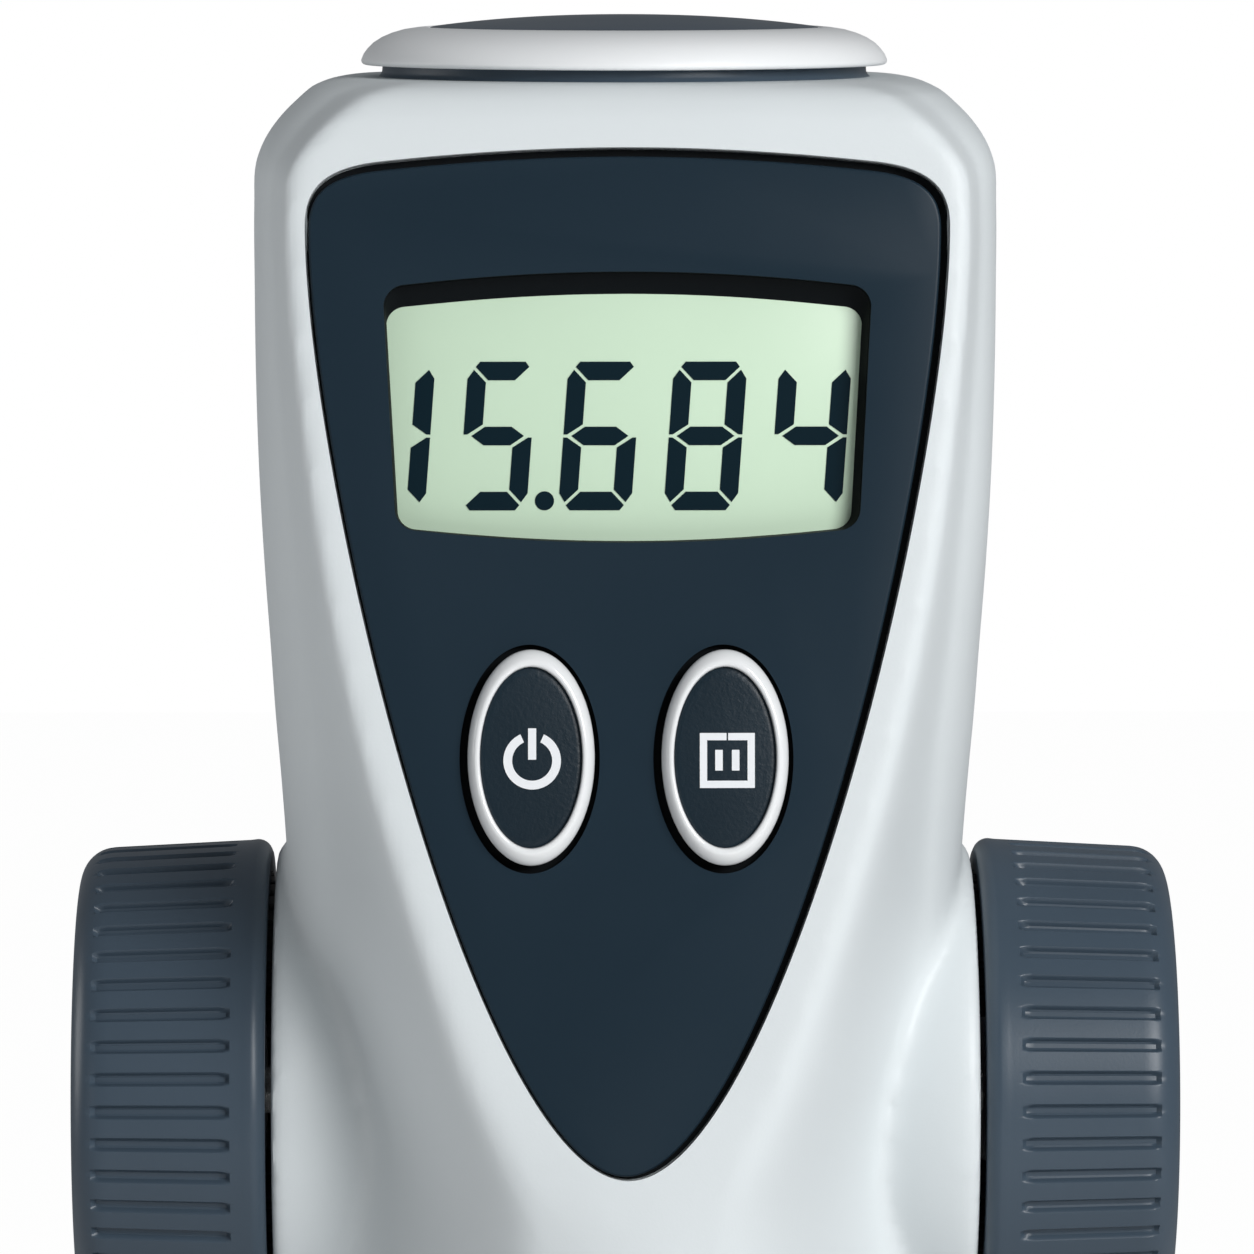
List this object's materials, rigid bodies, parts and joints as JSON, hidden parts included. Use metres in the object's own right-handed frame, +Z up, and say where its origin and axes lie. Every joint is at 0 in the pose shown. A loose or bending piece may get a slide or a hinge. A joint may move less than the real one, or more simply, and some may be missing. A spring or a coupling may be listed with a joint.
{
  "type": "bottle-top digital burette",
  "caption": "Bottle-top digital burette: display head with ribbed handwheels, rack-driven piston in a glass cylinder, ribbed bottle adapter and telescopic titrating arm.",
  "frame": {"origin": "centre of the bottle thread's mouth, in the plane of the skirt's lower edge", "axes": "+Z up along the glass cylinder, -Y towards the user (display and titrating arm), +X to the user's right along the handwheel axis"},
  "size_m": [0.1134, 0.189, 0.3936],
  "materials": {
    "shell_white": "silver-white fine satin moulding",
    "slate_plastic": "satin slate moulding",
    "panel_slate": "smooth satin front plate",
    "black_plastic": "fine grain",
    "button_white": "polished",
    "rubber_black": "matt",
    "lcd_green": "pale green liquid crystal glass",
    "board_green": "solder mask",
    "steel": "brushed",
    "brass": "turned",
    "acetal_white": "natural acetal",
    "glass": "clear borosilicate",
    "clear_tube": "translucent fluoropolymer",
    "amber_window": "transparent amber",
    "battery_wrap": "plain printed wrap"
  },
  "bodies": {
    "head": {"valve_block": "slate_plastic", "bottle_gasket": "rubber_black", "union_nut": "slate_plastic", "cylinder_seal": "rubber_black", "glass_cylinder": "glass", "cylinder_collar": "slate_plastic", "shield_sleeve": "slate_plastic", "front_window": "amber_window", "rear_window": "amber_window", "filling_valve": "acetal_white", "filling_tube_outer": "clear_tube", "recirculation_tube": "clear_tube", "vent_cap": "slate_plastic", "discharge_valve": "acetal_white", "arm_sleeve": "acetal_white", "front_housing": "shell_white", "rear_housing": "shell_white", "front_panel": "panel_slate", "display_frame": "black_plastic", "display_module": "lcd_green", "main_board": "board_green", "board_screws": "steel", "keypad_mat": "rubber_black", "top_cap_neck": "slate_plastic", "top_cap_rim": "shell_white", "top_cap_dome": "slate_plastic", "encoder_sensor": "black_plastic", "shaft_bushes": "brass", "gear_frame": "steel", "frame_screws": "steel", "battery_holder": "black_plastic", "batteries": "battery_wrap", "battery_contacts": "steel", "housing_screws": "steel"},
    "handwheels": {"left_handwheel": "slate_plastic", "right_handwheel": "slate_plastic", "left_wheel_cap": "shell_white", "right_wheel_cap": "shell_white", "wheel_screws": "steel", "wheel_shaft": "steel", "drive_pinion": "brass", "encoder_disc": "black_plastic"},
    "gear_set": {"gear_shaft": "steel", "reduction_gear": "acetal_white", "rack_pinion": "brass", "retaining_clips": "steel"},
    "piston_set": {"piston_rod": "steel", "piston": "acetal_white", "piston_seal": "rubber_black"},
    "power_key": {"power_button": "button_white", "power_button_insert": "black_plastic"},
    "pause_key": {"pause_button": "button_white", "pause_button_insert": "black_plastic"},
    "valve_knob": {"recirculation_knob": "slate_plastic"},
    "arm": {"arm_slider": "steel", "tube_holder": "slate_plastic"},
    "tip_tube": {"titrating_tube": "clear_tube"},
    "cap": {"tip_cap": "slate_plastic"},
    "suction_tube": {"filling_tube_inner": "clear_tube"},
    "door": {"battery_door": "shell_white"}
  },
  "joints": [
    {"name": "handwheel_turn", "type": "hinge", "parent": "head", "child": "handwheels", "pos_m": [0, 0.01, 0.15], "axis": [1, 0, 0], "range_deg": [0, 2419]},
    {"name": "reduction_gear_turn", "type": "hinge", "parent": "head", "child": "gear_set", "pos_m": [0, 0.01, 0.172], "axis": [1, 0, 0], "range_deg": [-680, 1]},
    {"name": "piston_lift", "type": "slide", "parent": "head", "child": "piston_set", "axis": [0, 0, 1], "range_m": [-0.0001, 0.0709]},
    {"name": "power_press", "type": "slide", "parent": "head", "child": "power_key", "axis": [0, 0.9936, -0.1132], "range_m": [0, 0.0008], "stiffness_N_per_m": 1500, "springref_m": -0.0004},
    {"name": "pause_press", "type": "slide", "parent": "head", "child": "pause_key", "axis": [0, 0.9936, -0.1132], "range_m": [0, 0.0008], "stiffness_N_per_m": 1500, "springref_m": -0.0004},
    {"name": "recirculation_turn", "type": "hinge", "parent": "head", "child": "valve_knob", "pos_m": [0, -0.039, 0.045], "axis": [0, 0, 1], "range_deg": [0, 90]},
    {"name": "arm_extend", "type": "slide", "parent": "head", "child": "arm", "axis": [0, -1, 0], "range_m": [0, 0.06]},
    {"name": "tube_height", "type": "slide", "parent": "arm", "child": "tip_tube", "axis": [0, 0, -1], "range_m": [-0.03, 0.03]},
    {"name": "tip_cap_pull", "type": "slide", "parent": "tip_tube", "child": "cap", "axis": [0, 0, -1], "range_m": [0, 0.02]},
    {"name": "filling_tube_extend", "type": "slide", "parent": "head", "child": "suction_tube", "axis": [0, 0, -1], "range_m": [0, 0.08]},
    {"name": "battery_door_pull", "type": "slide", "parent": "head", "child": "door", "axis": [0, 1, 0], "range_m": [0, 0.02]}
  ],
  "couplings": [
    {"joint": "reduction_gear_turn", "follows": "handwheel_turn", "ratio": -0.27907},
    {"joint": "piston_lift", "follows": "handwheel_turn", "m_per_rad": 0.0016744}
  ]
}
